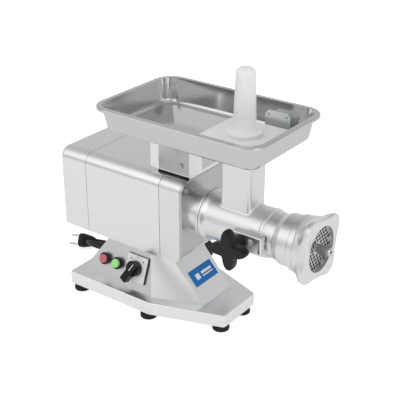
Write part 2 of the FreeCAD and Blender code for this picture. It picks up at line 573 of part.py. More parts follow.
def make_tray():
    outer = tray_walls(0, TRAY_RIM_Z - 1.2, TRAY_FLOOR_Z, 9.0)
    inner = tray_walls(TRAY_SHEET, TRAY_RIM_Z + 0.1, TRAY_FLOOR_Z + TRAY_SHEET, 8.0)
    rim = rounded_bar(TRAY_X, 0, TRAY_HALF_X, TRAY_HALF_Y, 36.0, TRAY_RIM_Z - 5.0, TRAY_RIM_Z)
    rim = rim.makeFillet(2.0, edges_where(rim, lambda e: lies_at(e, "z", TRAY_RIM_Z)))
    under = rounded_bar(TRAY_X, 0, TRAY_HALF_X - 1.2, TRAY_HALF_Y - 1.2, 34.8, TRAY_RIM_Z - 6.0,
                        TRAY_RIM_Z - 1.2)
    tray = outer.fuse(rim.cut(under)).cut(inner)
    half_x, half_y = NECK_HALF_X - NECK_WALL - 0.4, NECK_HALF_Y - NECK_WALL - 0.4
    spout = rounded_bar(NECK_X, 0, half_x, half_y, 3.6, TRAY_FLOOR_Z - 12, TRAY_FLOOR_Z + TRAY_SHEET)
    hole = rounded_bar(NECK_X, 0, half_x - 1, half_y - 1, 2.6, TRAY_FLOOR_Z - 13, TRAY_FLOOR_Z + 5)
    export("tray", tray.fuse(spout).cut(hole))


def make_guard_stop():
    """Bent plate on the tray's floor that stops the guard from sliding back."""
    x0, x1, y, foot_y = 87.0, 134.0, 75.0, 62.0
    low, high, corner = TRAY_FLOOR_Z + TRAY_SHEET + 0.05, 368.0, 6.0
    outline = [V(x0, y, low), V(x1, y, low), V(x1, y, high - corner), V(x1 - corner, y, high),
               V(x0 + corner, y, high), V(x0, y, high - corner)]
    plate = Part.Face(Part.makePolygon(outline + outline[:1])).extrude(V(0, SHEET, 0))
    for x in (x0 + 7, x1 - 7):
        plate = plate.cut(rod(2.2, (x, y - 1, high - 7), (x, y + 3, high - 7)))
    export("guard_stop", plate.fuse(block(x0, x1, foot_y, y + SHEET, low, low + SHEET)).removeSplitter())


def make_guard_and_pusher():
    half_x, half_y, wall = 61.0, 60.0, 2.5
    low = TRAY_FLOOR_Z + TRAY_SHEET + 0.2
    guard = rounded_bar(NECK_X, 0, half_x, half_y, 14.0, low, GUARD_TOP_Z)
    guard = guard.makeFillet(2.5, edges_where(guard, lambda e: lies_at(e, "z", GUARD_TOP_Z)))
    guard = guard.fuse(rod(28.3, (NECK_X, 0, GUARD_TOP_Z - 1), (NECK_X, 0, COLLAR_TOP_Z)))
    guard = guard.cut(rounded_bar(NECK_X, 0, half_x - wall, half_y - wall, 11.5, low - 1,
                                  GUARD_TOP_Z - wall))
    export("feed_guard", guard.cut(rod(18.0, (NECK_X, 0, low - 1), (NECK_X, 0, 400))))

    stem = turned_z([(0, 240), (16.4, 240), (17.2, 242), (17.3, COLLAR_TOP_Z + 0.3),
                     (28.0, COLLAR_TOP_Z + 0.3), (28.8, 354.6), (28.8, 357.0), (27.6, 358.0),
                     (23.0, 359.0), (20.0, 361.0), (18.6, 364.5), (18.2, 370.0), (15.5, 453.0),
                     (14.6, 455.2), (10.5, 458.6), (9.0, PUSHER_TOP_Z), (0, PUSHER_TOP_Z)], NECK_X, 0)
    export("pusher", stem)


def make_tray_support():
    """Bent bracket on the housing that carries the tray's rear half."""
    pad_z, base_z, top_z = HOUSING_TOP_Z, HOUSING_TOP_Z + 4.5, TRAY_FLOOR_Z - 0.4
    low_y, high_y, rear_x, front_x = -24.5, 76.0, -58.0, 6.6
    export("support_pad", block(rear_x, front_x - 8, low_y + 0.4, high_y, pad_z, base_z))
    base = block(rear_x, front_x, low_y, high_y, base_z, base_z + SHEET)
    rear = block(rear_x, rear_x + SHEET, low_y, high_y, base_z, top_z)
    ledge = block(rear_x, rear_x + 14, low_y, high_y, top_z - SHEET, top_z)
    wing = block(rear_x - 16, rear_x + SHEET, low_y, low_y + SHEET, base_z, top_z)
    front = block(front_x - SHEET, front_x, low_y + 3, low_y + 36, base_z, top_z)
    lip = block(front_x - SHEET, front_x, low_y + 3, high_y, pad_z + 0.3, base_z + SHEET)
    bracket = base.fuse(rear).fuse(ledge).fuse(wing).fuse(front).fuse(lip).removeSplitter()
    places = [(-31.0, 4.0), (-31.0, 60.0)]
    for x, y in places:
        bracket = bracket.cut(rod(2.5, (x, y, 250), (x, y, 270)))
    export("tray_support", bracket)
    export("support_screws", *[socket_screw((x, y, base_z + SHEET), (0, 0, 1), 4.5, 3.5, 2.5, SHEET)
                               for x, y in places])


# -------------------------------------------------------------------------- controls
def make_controls():
    for name, x in (("stop", STOP_X), ("start", START_X)):
        bezel = panel_rod(11.0, x, BUTTON_UP, 0.05, 7.0)
        bezel = bezel.makeFillet(1.2, [e for e in bezel.Edges if len(e.Vertexes) == 1
                                       and (e.CenterOfMass - on_panel(x, BUTTON_UP, 7.0)).Length < 0.1])
        barrel = panel_rod(8.5, x, BUTTON_UP, -22, 0.05)
        export(name + "_bezel", bezel.fuse(barrel).cut(panel_rod(7.9, x, BUTTON_UP, -19, 9)))
        cap = panel_rod(7.8, x, BUTTON_UP, -4, 11.5)
        cap = cap.makeFillet(1.4, [e for e in cap.Edges if len(e.Vertexes) == 1
                                   and (e.CenterOfMass - on_panel(x, BUTTON_UP, 11.5)).Length < 0.1])
        export(name + "_button", cap)

    base = panel_block(SWITCH_X, SWITCH_UP, SWITCH_HALF_X + 0.6, SWITCH_HALF_UP + 0.6, 0.05, 3.5)
    body = panel_block(SWITCH_X, SWITCH_UP, 17.0, 17.0, -42, -3).fuse(
        panel_rod(8.9, SWITCH_X, SWITCH_UP, -3.5, 0.05))
    export("switch_base", base.fuse(body).cut(panel_rod(4.1, SWITCH_X, SWITCH_UP, -30, 10)))
    face = panel_block(SWITCH_X, SWITCH_UP, SWITCH_HALF_X, SWITCH_HALF_UP, 3.5, 5.0)
    export("switch_face", face.cut(panel_rod(4.1, SWITCH_X, SWITCH_UP, 0, 10)))

    knob = panel_rod(14.0, SWITCH_X, SWITCH_UP, 5.3, 15.5)
    reach, turn = -7.0, math.radians(SWITCH_TURN)
    bar = panel_block(SWITCH_X - reach * math.sin(turn), SWITCH_UP + reach * math.cos(turn), 6.8, 20.5,
                      7.5, 21.5, SWITCH_TURN)
    bar = bar.makeFillet(1.6, bar.Edges)
    knob = knob.fuse(bar).fuse(panel_rod(4.0, SWITCH_X, SWITCH_UP, -28, 10))
    export("switch_knob", knob)


# ---------------------------------------------------------------------- cord and plug
LEAD_ROUTE = [(-224.0, -6.0, 54.0), (-243.0, -5.5, 52.0), (-260.0, 2.5, 44.0), (-268.0, 17.0, 31.0),
              (-266.0, 33.0, 18.0), (-256.0, 49.0, 8.0), (-245.0, 63.5, 3.6), (-236.0, 79.5, 3.6),
              (-222.0, 93.0, 3.6), (-205.0, 100.0, 3.8), (-186.0, 100.0, 4.4), (-156.0, 100.0, 4.4)]
TAIL_ROUTE = [(-156.0, 194.0, 8.2), (-178.0, 194.0, 4.6), (-198.0, 185.5, 3.6), (-214.0, 172.5, 3.6),
              (-225.0, 155.5, 3.6), (-231.0, 137.0, 3.6), (-233.0, 119.0, 3.8), (-232.0, 105.0, 6.0),
              (-233.0, 91.5, 9.2), (-239.5, 77.5, 11.8), (-250.0, 66.2, 13.6), (-264.0, 60.0, 14.4)]


def soft_path(points):
    """Straight runs joined by tangent arcs, as large as the runs allow."""
    points = [V(*p) for p in points]
    edges, here, radii = [], points[0], []
    for i in range(1, len(points) - 1):
        before, after = points[i - 1] - points[i], points[i + 1] - points[i]
        turn = math.pi - before.getAngle(after)
        shorter = min(before.Length, after.Length)
        reach = 0.45 * shorter
        radius = reach / math.tan(turn / 2)
        radii.append(round(radius, 1))
        a = points[i] + before.normalize() * reach
        b = points[i] + after.normalize() * reach
        bisector = (before + after).normalize()
        middle = points[i] + bisector * (radius / math.cos(turn / 2) - radius)
        edges.append(Part.LineSegment(here, a).toShape())
        edges.append(Part.Arc(a, middle, b).toShape())
        here = b
    edges.append(Part.LineSegment(here, points[-1]).toShape())
    return Part.Wire(edges), radii


def tube(points, radius):
    path, radii = soft_path(points)
    start = V(*points[0])
    along = V(*points[1]) - start
    circle = Part.Wire(Part.Circle(start, along, radius).toShape())
    solid = path.makePipeShell([circle], True, False)
    section = math.pi * radius ** 2
    print("cord length", round(path.Length, 1), "tightest", min(radii), "radii", radii,
          "volume ratio", round(solid.Volume / (section * path.Length), 4))
    return solid


def make_cord():
    export("cord_lead", tube(LEAD_ROUTE, CORD_RADIUS))
    export("cord_tail", tube(TAIL_ROUTE, CORD_RADIUS))

    exit_x, exit_y, exit_z = LEAD_ROUTE[0]
    gland = turned([(-176.0, 0), (-176.0, 7.6), (-198.0, 7.6), (-198.0, 10.5), (-203.0, 10.5),
                    (-204.0, 9.5), (-204.0, 6.6), (exit_x, 4.8), (exit_x, 0)], (exit_y, exit_z))
    export("cord_gland", gland)

    # the put-away length: a tied coil two turns high and three wide, with its two ends leaving it
    x, y = COIL_CENTRE
    side, low = 1.5 * 2 * CORD_RADIUS, COIL_LOW_Z
    high = low + 4 * CORD_RADIUS
    coil = rod(COIL_MEAN_RADIUS + side, (x, y, low), (x, y, high))
    coil = coil.cut(rod(COIL_MEAN_RADIUS - side, (x, y, low - 1), (x, y, high + 1)))
    for route_end, sign in ((LEAD_ROUTE[-1], -1), (TAIL_ROUTE[0], 1)):
        outer_y, inner_y = route_end[1] + sign * CORD_RADIUS, route_end[1] - sign * CORD_RADIUS
        middle_z = route_end[2] + CORD_RADIUS
        top_z = high if sign > 0 else middle_z
        profile = [V(route_end[0], inner_y, low), V(x, inner_y, low), V(x, inner_y, top_z),
                   V(route_end[0], inner_y, middle_z)]
        end = Part.Face(Part.makePolygon(profile + profile[:1])).extrude(V(0, outer_y - inner_y, 0))
        coil = coil.fuse(end)
    export("cord_coil", coil.removeSplitter())

    gap, strap = 0.5, 0.6
    tie_x0, tie_x1 = x + COIL_MEAN_RADIUS - side, x + COIL_MEAN_RADIUS + side
    tie = block(tie_x0 - gap - strap, tie_x1 + gap + strap, y - 4, y + 4, low - gap - strap,
                high + gap + strap)
    hollow = block(tie_x0 - gap, tie_x1 + gap, y - 6, y + 6, low - gap, high + gap)
    export("coil_tie", tie.cut(hollow))


def make_plug():
    """Two-pin plug that lies on the ground with its cord leaving the back."""
    length, relief = 31.0, 24.0
    body = turned([(0, 0), (0, 13.2), (1.0, 14.0), (10.0, 14.0), (13.0, 12.6), (26.0, 10.2), (31.0, 8.0),
                   (length, 6.0), (length + relief, 4.8), (length + relief, 0)], (0, 0))
    roll = V(0, 7.9, 5.3)
    pins = [rod(2.4, V(-19.0, 0, 0) + roll * side, roll * side) for side in (-1, 1)]
    tail_end = V(*TAIL_ROUTE[-1])
    turn = FreeCAD.Rotation(V(1, 0, 0), V(0.92, 0.39, 0))
    origin = tail_end - turn.multVec(V(length + relief, 0, 0))
    for name, pieces in (("plug_body", [body]), ("plug_pins", pins)):
        for piece in pieces:
            piece.Placement = FreeCAD.Placement(origin, turn).multiply(piece.Placement)
        export(name, *pieces)


export_order = [make_base, make_pedestal, make_housing, make_gear_case, make_gear_train, make_motor,
                make_head, make_auger, make_hole_plate, make_ring_nut, make_lock, make_tray,
                make_guard_stop, make_guard_and_pusher, make_tray_support, make_controls, make_cord,
                make_plug]
for make in export_order:
    make()
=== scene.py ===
import math

import bpy
import bmesh
from mathutils import Matrix, Vector


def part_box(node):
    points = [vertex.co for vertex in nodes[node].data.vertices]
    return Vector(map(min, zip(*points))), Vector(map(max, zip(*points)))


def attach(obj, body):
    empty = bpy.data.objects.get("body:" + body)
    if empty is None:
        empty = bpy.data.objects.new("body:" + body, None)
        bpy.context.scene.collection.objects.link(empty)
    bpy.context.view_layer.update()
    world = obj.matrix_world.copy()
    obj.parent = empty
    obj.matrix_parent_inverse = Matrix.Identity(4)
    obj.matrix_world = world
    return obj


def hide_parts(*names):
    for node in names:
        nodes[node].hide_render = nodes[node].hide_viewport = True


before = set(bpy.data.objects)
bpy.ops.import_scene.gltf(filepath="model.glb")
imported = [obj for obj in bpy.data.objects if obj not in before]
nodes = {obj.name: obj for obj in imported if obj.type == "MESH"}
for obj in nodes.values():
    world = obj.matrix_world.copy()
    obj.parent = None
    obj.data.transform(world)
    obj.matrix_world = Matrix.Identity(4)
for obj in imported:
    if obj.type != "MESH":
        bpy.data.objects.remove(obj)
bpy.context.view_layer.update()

# Electric meat grinder: finishes, cord, small fittings, light and camera.
# Metres, in the model's own frame: +X towards the grinding head, -Y towards the controls.

scene = bpy.context.scene

STEEL = (0.80, 0.81, 0.815)
BLACK = (0.005, 0.005, 0.0055)
PLASTIC_SPECULAR, RUBBER_SPECULAR = 0.3, 0.2
GRAIN_ACROSS, GRAIN_ALONG = 900.0, 12.0  # noise cells per metre across and along a sheet's brushing


# ----------------------------------------------------------------------- shader maths
class Socket:
    """A socket of a material, with arithmetic that adds Math nodes."""

    def __init__(self, graph, link):
        self.graph, self.link = graph, link

    def _math(self, operation, a, b=0.0):
        return self.graph.node("ShaderNodeMath", {"operation": operation}, [a, b])

    def __add__(self, other):
        return self._math("ADD", self, other)

    def __sub__(self, other):
        return self._math("SUBTRACT", self, other)

    def __mul__(self, other):
        return self._math("MULTIPLY", self, other)

    def __pow__(self, other):
        return self._math("POWER", self, other)

    def __radd__(self, other):
        return self._math("ADD", other, self)

    def __rsub__(self, other):
        return self._math("SUBTRACT", other, self)

    def __rmul__(self, other):
        return self._math("MULTIPLY", other, self)


class Graph:
    """The node tree of a material, or of the studio's world, built from Python expressions."""

    def __init__(self, name, owners=bpy.data.materials, shader="Principled BSDF"):
        self.owner = owners.new(name)
        self.owner.use_nodes = True
        self.tree = self.owner.node_tree
        self.shader = self.tree.nodes[shader]

    def put(self, socket, value):
        if isinstance(value, Socket):
            self.tree.links.new(value.link, socket)
        elif hasattr(value, "__len__") and len(value) == 3 and socket.type == "RGBA":
            socket.default_value = (*value, 1.0)
        else:
            socket.default_value = value

    def node(self, kind, settings=(), values=(), output=0):
        """Add a node: settings first, then its sockets by place or by name."""
        made = self.tree.nodes.new(kind)
        for key, value in dict(settings).items():
            if key == "stops":
                ramp = made.color_ramp.elements
                for place, _ in value[1:-1]:
                    ramp.new(place)
                for stop, (place, colour) in zip(ramp, value):
                    stop.position, stop.color = place, (*colour, 1.0)
            else:
                setattr(made, key, value)
        pairs = values.items() if isinstance(values, dict) else enumerate(values)
        for key, value in pairs:
            self.put(made.inputs[key], value)
        return Socket(self, made.outputs[output])

    def place(self, scale=(1.0, 1.0, 1.0), turn=(0.0, 0.0, 0.0)):
        """Object coordinates, stretched by scale and turned."""
        where = self.node("ShaderNodeTexCoord", output=3)
        return self.node("ShaderNodeMapping", {}, {"Vector": where, "Scale": scale, "Rotation": turn})

    def noise(self, where, scale, detail=3.0, roughness=0.5):
        return self.node("ShaderNodeTexNoise", {"noise_dimensions": "3D"},
                         {"Vector": where, "Scale": scale, "Detail": detail, "Roughness": roughness})

    def mix(self, factor, a, b):
        """Blend two colours. A Mix node's colour sockets come after those for numbers and vectors."""
        factor_in, colour_a, colour_b, colour_out = 0, 6, 7, 2
        values = {factor_in: factor, colour_a: a, colour_b: b}
        return self.node("ShaderNodeMix", {"data_type": "RGBA"}, values, output=colour_out)

    def bump(self, height, distance, strength=1.0):
        return self.node("ShaderNodeBump", {},
                         {"Height": height, "Distance": distance, "Strength": strength})

    def finish(self, **values):
        names = {"colour": "Base Color", "roughness": "Roughness", "metallic": "Metallic", "normal": "Normal",
                 "specular": "Specular IOR Level", "subsurface": "Subsurface Weight",
                 "radius": "Subsurface Radius", "reach": "Subsurface Scale", "glow": "Emission Color",
                 "glow_strength": "Emission Strength"}
        for key, value in values.items():
            self.put(self.shader.inputs[names[key]], value)
        return self.owner


def tint(colour, factor):
    return tuple(min(1.0, c * factor) for c in colour)


# ---------------------------------------------------------------------------- finishes
def brushed_steel(name, colour, roughness, along, depth=0.0000015):
    """Sheet with a fine grain along one axis and faint smudges from handling."""
    g = Graph(name)
    stretch = [GRAIN_ACROSS] * 3
    stretch["XYZ".index(along)] = GRAIN_ALONG
    grain = g.noise(g.place(stretch), 1.0, 3.0, 0.6)
    smudge = g.noise(g.place(), 14.0, 4.0, 0.55)
    level = (grain - 0.5) * 0.05 + (smudge - 0.5) * 0.05 + roughness
    shade = g.mix((grain - 0.5) * 0.5 + smudge * 0.4 + 0.2, tint(colour, 0.975), tint(colour, 1.02))
    return g.finish(colour=shade, roughness=level, metallic=1.0, normal=g.bump(grain, depth, 0.4))


def polished_steel(name, colour, roughness):
    """Drawn and polished sheet: long soft waves under a few hairline scratches."""
    g = Graph(name)
    waves = g.noise(g.place(), 9.0, 2.0, 0.5)
    hairline = g.noise(g.place((60.0, GRAIN_ACROSS, GRAIN_ACROSS), (0.0, 0.0, 0.4)), 1.0, 2.0, 0.7)
    level = (waves - 0.5) * 0.08 + (hairline - 0.5) * 0.10 + roughness
    shade = g.mix(waves, tint(colour, 0.96), tint(colour, 1.03))
    height = waves * 0.9 + hairline * 0.1
    return g.finish(colour=shade, roughness=level, metallic=1.0, normal=g.bump(height, 0.0004, 0.35))


def cast_steel(name, colour, roughness, grain_size, depth):
    """Blasted casting: fine pits over a slightly uneven skin."""
    g = Graph(name)
    pits = g.noise(g.place(), grain_size, 4.0, 0.65)
    skin = g.noise(g.place(), 22.0, 3.0, 0.5)
    shade = g.mix(pits * 0.6 + skin * 0.4, tint(colour, 0.90), tint(colour, 1.08))
    level = (pits - 0.5) * 0.20 + (skin - 0.5) * 0.12 + roughness
    height = pits * 0.75 + skin * 0.25
    return g.finish(colour=shade, roughness=level, metallic=1.0, normal=g.bump(height, depth, 0.6))


def turned_steel(name, colour, roughness):
    """Machined part with fine rings left by the lathe along its axis."""
    g = Graph(name)
    rings = g.noise(g.place((2400.0, 3.0, 3.0)), 1.0, 2.0, 0.5)
    stain = g.noise(g.place(), 60.0, 3.0, 0.5)
    shade = g.mix(rings * 0.6 + stain * 0.4, tint(colour, 0.88), tint(colour, 1.08))
    return g.finish(colour=shade, roughness=(rings - 0.5) * 0.15 + (stain - 0.5) * 0.12 + roughness,
                    metallic=1.0, normal=g.bump(rings, 0.00002, 0.4))


def moulded_plastic(name, colour, roughness, grain_size=2600.0, depth=0.00003, contrast=0.08):
    """Moulded plastic with a spark-eroded grain and slight shade variation."""
    g = Graph(name)
    grain = g.noise(g.place(), grain_size, 2.0, 0.6)
    cloud = g.noise(g.place(), 35.0, 3.0, 0.5)
    shade = g.mix(cloud, tint(colour, 1.0 - contrast), tint(colour, 1.0 + contrast))
    level = (grain - 0.5) * 0.12 + (cloud - 0.5) * 0.10 + roughness
    return g.finish(colour=shade, roughness=level, specular=PLASTIC_SPECULAR,
                    normal=g.bump(grain, depth, 0.5))


def milky_plastic(name, colour, roughness):
    """Food-grade plastic that lets a little light in."""
    g = Graph(name)
    cloud = g.noise(g.place(), 28.0, 3.0, 0.5)
    swirl = g.noise(g.place((1.0, 1.0, 9.0)), 60.0, 2.0, 0.5)
    shade = g.mix(cloud, tint(colour, 0.97), tint(colour, 1.02))
    level = (swirl - 0.5) * 0.12 + roughness
    return g.finish(colour=shade, roughness=level, normal=g.bump(swirl, 0.00008, 0.4),
                    subsurface=0.25, radius=(0.02, 0.02, 0.02), reach=0.2)


def rubber(name, colour, roughness):
    g = Graph(name)
    grain = g.noise(g.place(), 1800.0, 3.0, 0.7)
    dust = g.noise(g.place(), 90.0, 4.0, 0.6)
    shade = g.mix(dust ** 2.0, colour, tint(colour, 2.2))
    return g.finish(colour=shade, roughness=(dust - 0.5) * 0.15 + roughness, specular=RUBBER_SPECULAR,
                    normal=g.bump(grain, 0.00004, 0.6))


def laminations(name, colour):
    """Stack of thin iron sheets, seen as fine lines across the motor's axis."""
    g = Graph(name)
    stack = g.node("ShaderNodeTexWave", {"wave_type": "BANDS", "bands_direction": "X"},
                   {"Vector": g.place(), "Scale": 320.0, "Distortion": 0.1}, output=1)
    shade = g.mix(stack, tint(colour, 0.6), tint(colour, 1.3))
    return g.finish(colour=shade, roughness=0.55, metallic=0.8, normal=g.bump(stack, 0.0001, 0.7))


sheet_along_x = brushed_steel("sheet_grain_along_x", STEEL, 0.30, "X")
sheet_along_z = brushed_steel("sheet_grain_along_z", STEEL, 0.30, "Z")
# The base pan's lighter tone is painted light: it lifts the shade that the pedestal casts and reflects on the
# base top.
lit_base_sheet = brushed_steel("lit_base_sheet", (0.87, 0.875, 0.88), 0.25, "X", 0.0000004)
tray_polish = polished_steel("tray_polish", (0.60, 0.605, 0.61), 0.11)
case_metal = cast_steel("case_metal", (0.78, 0.785, 0.79), 0.34, 1500.0, 0.00001)
# Darker copy of case_metal for the front plate: its lower tone is painted shade for the tray's shadow and the
# dark reflections of barrel and tray.
shaded_plate_metal = cast_steel("shaded_plate_metal", (0.50, 0.505, 0.51), 0.28, 1500.0, 0.00001)
blasted_steel = cast_steel("blasted_steel", (0.78, 0.785, 0.79), 0.36, 1300.0, 0.00006)
ground_steel = turned_steel("ground_steel", (0.60, 0.61, 0.62), 0.30)
dark_steel = turned_steel("oiled_steel", (0.30, 0.30, 0.31), 0.35)
zinc = turned_steel("zinc_plated", (0.66, 0.67, 0.68), 0.28)
iron_stack = laminations("iron_stack", (0.20, 0.21, 0.23))
black_plastic = moulded_plastic("black_plastic", BLACK, 0.38)
gloss_black = moulded_plastic("gloss_black_plastic", (0.010, 0.010, 0.011), 0.22, 900.0, 0.00001)
grey_plastic = moulded_plastic("grey_plastic", (0.30, 0.31, 0.32), 0.45)
white_plastic = milky_plastic("white_food_plastic", (0.97, 0.975, 0.98), 0.38)
dial_white = moulded_plastic("dial_white", (0.86, 0.86, 0.86), 0.35, contrast=0.02)
dial_ink = moulded_plastic("dial_ink", (0.02, 0.02, 0.02), 0.5)
stop_red = moulded_plastic("stop_red", (0.60, 0.17, 0.20), 0.22, 900.0, 0.00001)
start_green = moulded_plastic("start_green", (0.38, 0.88, 0.27), 0.22, 900.0, 0.00001)
plaque_blue = moulded_plastic("plaque_blue", (0.003, 0.16, 0.50), 0.30, 900.0, 0.00001)
foot_rubber = rubber("foot_rubber", (0.012, 0.012, 0.012), 0.62)
cord_sheath = rubber("cord_sheath", (0.014, 0.014, 0.015), 0.48)
brass_plate = turned_steel("nickel_plated_brass", (0.70, 0.68, 0.60), 0.22)

NODE_FINISH = {
    sheet_along_x: ["housing_cover", "rear_cap", "cover_joint_band", "bottom_cover", "guard_stop"],
    sheet_along_z: ["pedestal", "tray_support"],
    lit_base_sheet: ["base_pan"],
    tray_polish: ["tray"],
    case_metal: ["gear_case", "gear_case_rear_wall", "outlet_flange", "motor_frame", "motor_end_shields"],
    shaded_plate_metal: ["front_plate"],
    blasted_steel: ["head_casting", "front_cylinder", "ring_nut"],
    ground_steel: ["auger", "auger_pin", "knife", "hole_plate", "output_shaft", "motor_shaft"],
    dark_steel: ["output_gear", "countershaft", "countershaft_gear", "countershaft_pinion", "motor_pinion",
                 "output_bearings", "countershaft_bearings", "motor_bearings"],
    zinc: ["foot_screws", "front_plate_screws", "support_screws", "lock_stud"],
    iron_stack: ["motor_stator", "motor_rotor"],
    black_plastic: ["lock_knob", "switch_base", "cord_gland", "plug_body", "motor_fan", "coil_tie"],
    gloss_black: ["stop_bezel", "start_bezel", "switch_knob"],
    grey_plastic: ["motor_capacitor"],
    white_plastic: ["feed_guard", "pusher"],
    dial_white: ["switch_face"],
    stop_red: ["stop_button"],
    start_green: ["start_button"],
    plaque_blue: ["blank_plaque"],
    # support_pad is coloured black as painted shade: it stands in for the shadowed gap under the tray
    # support.
    foot_rubber: ["rubber_feet", "support_pad"],
    brass_plate: ["plug_pins"],
}
for finish, names in NODE_FINISH.items():
    for name in names:
        slots = nodes[name].data.materials
        slots.clear()
        slots.append(finish)


# ------------------------------------------------------------------------------- cord
CORD_DIAMETER = 0.007
LEAD = [(-0.224, -0.006, 0.054), (-0.243, -0.0055, 0.052), (-0.260, 0.0025, 0.044),
        (-0.268, 0.017, 0.031), (-0.266, 0.033, 0.018), (-0.256, 0.049, 0.008),
        (-0.245, 0.0635, 0.0036), (-0.236, 0.0795, 0.0036), (-0.222, 0.093, 0.0036),
        (-0.205, 0.100, 0.0038), (-0.186, 0.100, 0.0044), (-0.156, 0.100, 0.0044)]
TAIL = [(-0.156, 0.194, 0.0082), (-0.178, 0.194, 0.0046), (-0.198, 0.1855, 0.0036),
        (-0.214, 0.1725, 0.0036), (-0.225, 0.1555, 0.0036), (-0.231, 0.137, 0.0036),
        (-0.233, 0.119, 0.0038), (-0.232, 0.105, 0.0060), (-0.233, 0.0915, 0.0092),
        (-0.2395, 0.0775, 0.0118), (-0.250, 0.0662, 0.0136), (-0.264, 0.060, 0.0144)]
COIL_CENTRE = (-0.126, 0.147)
COIL_RADII = [0.047, 0.040, 0.033, 0.033, 0.040, 0.047]
COIL_LAYERS = [0.0047, 0.0047, 0.0047, 0.0117, 0.0117, 0.0117]
COIL_TURNS = 5.5
POINTS_PER_TURN = 20
STEP_OVER = 0.25  # last part of each turn, over which it moves across to the next one


def coil_points():
    """Turns wound outside to inside on the ground, then back out on top of them."""
    points = []
    last = len(COIL_RADII) - 1
    for i in range(int(COIL_TURNS * POINTS_PER_TURN) + 1):
        turn = i / POINTS_PER_TURN
        lap = min(int(turn), last)
        following = min(lap + 1, last)
        late = max(0.0, (turn - lap - (1.0 - STEP_OVER)) / STEP_OVER)
        radius = COIL_RADII[lap] + (COIL_RADII[following] - COIL_RADII[lap]) * late
        height = COIL_LAYERS[lap] + (COIL_LAYERS[following] - COIL_LAYERS[lap]) * late
        angle = 2 * math.pi * turn - math.pi / 2
        points.append((COIL_CENTRE[0] + radius * math.cos(angle), COIL_CENTRE[1] + radius * math.sin(angle),
                       height))
    return points


def soft_spline(name, points, radius):
    curve = bpy.data.curves.new(name, "CURVE")
    curve.dimensions = "3D"
    spline = curve.splines.new("NURBS")
    spline.points.add(len(points) - 1)
    for point, place in zip(spline.points, points):
        point.co = (*place, 1.0)
    spline.order_u = 3
    spline.use_endpoint_u = True
    spline.resolution_u = 6
    curve.bevel_depth = radius
    curve.bevel_resolution = 5
    curve.use_fill_caps = True
    made = bpy.data.objects.new(name, curve)
    scene.collection.objects.link(made)
    return made


mains_cord = soft_spline("mains_cord", LEAD + coil_points() + TAIL, CORD_DIAMETER / 2)
mains_cord.data.materials.append(cord_sheath)
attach(mains_cord, "base")
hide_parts("cord_lead", "cord_coil", "cord_tail")


# ------------------------------------------------------------------ repeated fittings
class Recipe:
    """A Geometry Nodes tree with named inputs, whose result becomes a plain mesh."""

    def __init__(self, name, **inputs):
        self.tree = bpy.data.node_groups.new(name, "GeometryNodeTree")
        face = self.tree.interface
        face.new_socket("Geometry", in_out="OUTPUT", socket_type="NodeSocketGeometry")
        self.inputs = {}
        for label, kind in inputs.items():
            self.inputs[label] = face.new_socket(label, in_out="INPUT", socket_type="NodeSocket" + kind)
        self.start = self.tree.nodes.new("NodeGroupInput")
        self.end = self.tree.nodes.new("NodeGroupOutput")

    def __getitem__(self, label):
        return self.start.outputs[label]

    def node(self, kind, settings=(), values=(), output=0):
        made = self.tree.nodes.new(kind)
        for key, value in dict(settings).items():
            setattr(made, key, value)
        for key, value in dict(values).items():
            if isinstance(value, bpy.types.NodeSocket):
                self.tree.links.new(value, made.inputs[key])
            else:
                made.inputs[key].default_value = value
        return made.outputs[output]

    def close(self, geometry):
        """Place the result, make it real and give it its finish."""
        placed = self.node("GeometryNodeTransform", {},
                           {"Geometry": geometry, "Translation": self["Place"], "Rotation": self["Turn"]})
        real = self.node("GeometryNodeRealizeInstances", {}, {"Geometry": placed})
        done = self.node("GeometryNodeSetMaterial", {}, {"Geometry": real, "Material": self["Finish"]})
        self.tree.links.new(done, self.end.inputs[0])
        return self

    def make(self, name, body, slot_name, **values):
        holder = bpy.data.objects.new(name + "_holder", bpy.data.meshes.new(name + "_holder"))
        scene.collection.objects.link(holder)
        modifier = holder.modifiers.new("recipe", "NODES")
        modifier.node_group = self.tree
        for label, value in values.items():
            modifier[self.inputs[label].identifier] = value
        graph = bpy.context.evaluated_depsgraph_get()
        mesh = bpy.data.meshes.new_from_object(holder.evaluated_get(graph))
        bpy.data.objects.remove(holder)
        return place_piece(name, mesh, body)


def place_piece(name, mesh, body):
    mesh.name = name
    piece = bpy.data.objects.new(name, mesh)
    scene.collection.objects.link(piece)
    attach(piece, body)
    return piece


PLACING = {"Place": "Vector", "Turn": "Rotation", "Finish": "Material"}


def rib_recipe():
    """Row of round ribs along X, each a little smaller than the one before."""
    r = Recipe("row_of_ribs", Count="Int", Spacing="Float", Radius="Float", Taper="Float", Thickness="Float",
               **PLACING)
    step = r.node("ShaderNodeCombineXYZ", {}, {"X": r["Spacing"]})
    row = r.node("GeometryNodeMeshLine", {}, {"Count": r["Count"], "Offset": step})
    circle = r.node("GeometryNodeCurvePrimitiveCircle", {}, {"Resolution": 40, "Radius": r["Radius"]})
    section = r.node("GeometryNodeCurvePrimitiveCircle", {}, {"Resolution": 10, "Radius": r["Thickness"]})
    rib = r.node("GeometryNodeCurveToMesh", {}, {"Curve": circle, "Profile Curve": section})
    index = r.node("GeometryNodeInputIndex")
    shrink = r.node("ShaderNodeMath", {"operation": "MULTIPLY"}, {0: index, 1: r["Taper"]})
    scale = r.node("ShaderNodeMath", {"operation": "SUBTRACT"}, {0: 1.0, 1: shrink})
    ribs = r.node("GeometryNodeInstanceOnPoints", {},
                  {"Points": row, "Instance": rib, "Rotation": (0.0, math.pi / 2, 0.0), "Scale": scale})
    return r.close(ribs)


